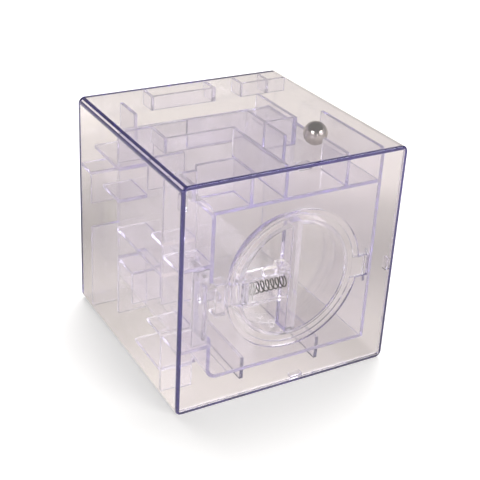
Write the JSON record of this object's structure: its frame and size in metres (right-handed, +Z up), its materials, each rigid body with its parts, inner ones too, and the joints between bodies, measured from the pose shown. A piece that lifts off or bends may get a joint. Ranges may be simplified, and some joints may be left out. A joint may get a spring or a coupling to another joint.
{
  "type": "tilt maze cube",
  "caption": "Clear plastic cube with a steel ball maze around an inner vault, closed by a hinged round hatch with a spring latch.",
  "frame": {"origin": "centre of the cube's underside, on the surface it stands on", "axes": "+Z up, -Y out of the face with the round hatch, +X to the right as that face is seen"},
  "size_m": [0.1142, 0.1142, 0.1143],
  "materials": {
    "case_plastic": "clear polystyrene, polished",
    "maze_plastic": "clear polystyrene, polished",
    "hatch_plastic": "clear polystyrene, polished",
    "lock_plastic": "clear polystyrene, lightly frosted by sliding",
    "spring_steel": "drawn spring wire",
    "pin_steel": "turned",
    "ball_steel": "ground and polished bearing ball"
  },
  "bodies": {
    "case": {"outer_case": "case_plastic", "front_panel": "case_plastic", "vault_tray": "maze_plastic", "right_partition": "maze_plastic", "maze_top_plate": "maze_plastic", "maze_left_plate": "maze_plastic", "lid_wall_back_left": "maze_plastic", "lid_wall_back_right": "maze_plastic", "lid_wall_middle": "maze_plastic", "column_wall": "maze_plastic", "ball_deflector": "maze_plastic", "latch_keeper": "maze_plastic", "gate_pin": "pin_steel", "hinge_pin": "pin_steel"},
    "hatch": {"hatch": "hatch_plastic", "latch_guide": "hatch_plastic", "latch_spring": "spring_steel"},
    "latch": {"latch_bolt": "lock_plastic"},
    "lock_gate": {"lock_gate": "lock_plastic"},
    "ball": {"ball": "ball_steel"}
  },
  "joints": [
    {"name": "hatch_hinge", "type": "hinge", "parent": "case", "child": "hatch", "pos_m": [0.0406, -0.056, 0.0562], "axis": [0, 0, 1], "range_deg": [0, 100]},
    {"name": "latch_slide", "type": "slide", "parent": "hatch", "child": "latch", "axis": [1, 0, 0], "range_m": [0, 0.006], "stiffness_N_per_m": 120, "springref_m": -0.004, "deforming": ["latch_spring"]},
    {"name": "gate_swing", "type": "hinge", "parent": "case", "child": "lock_gate", "pos_m": [-0.0434, -0.047, 0.0685], "axis": [0, -1, 0], "range_deg": [0, 4]},
    {"name": "ball_roll", "type": "slide", "parent": "case", "child": "ball", "axis": [0, 1, 0], "range_m": [-0.034, 0.045]}
  ]
}
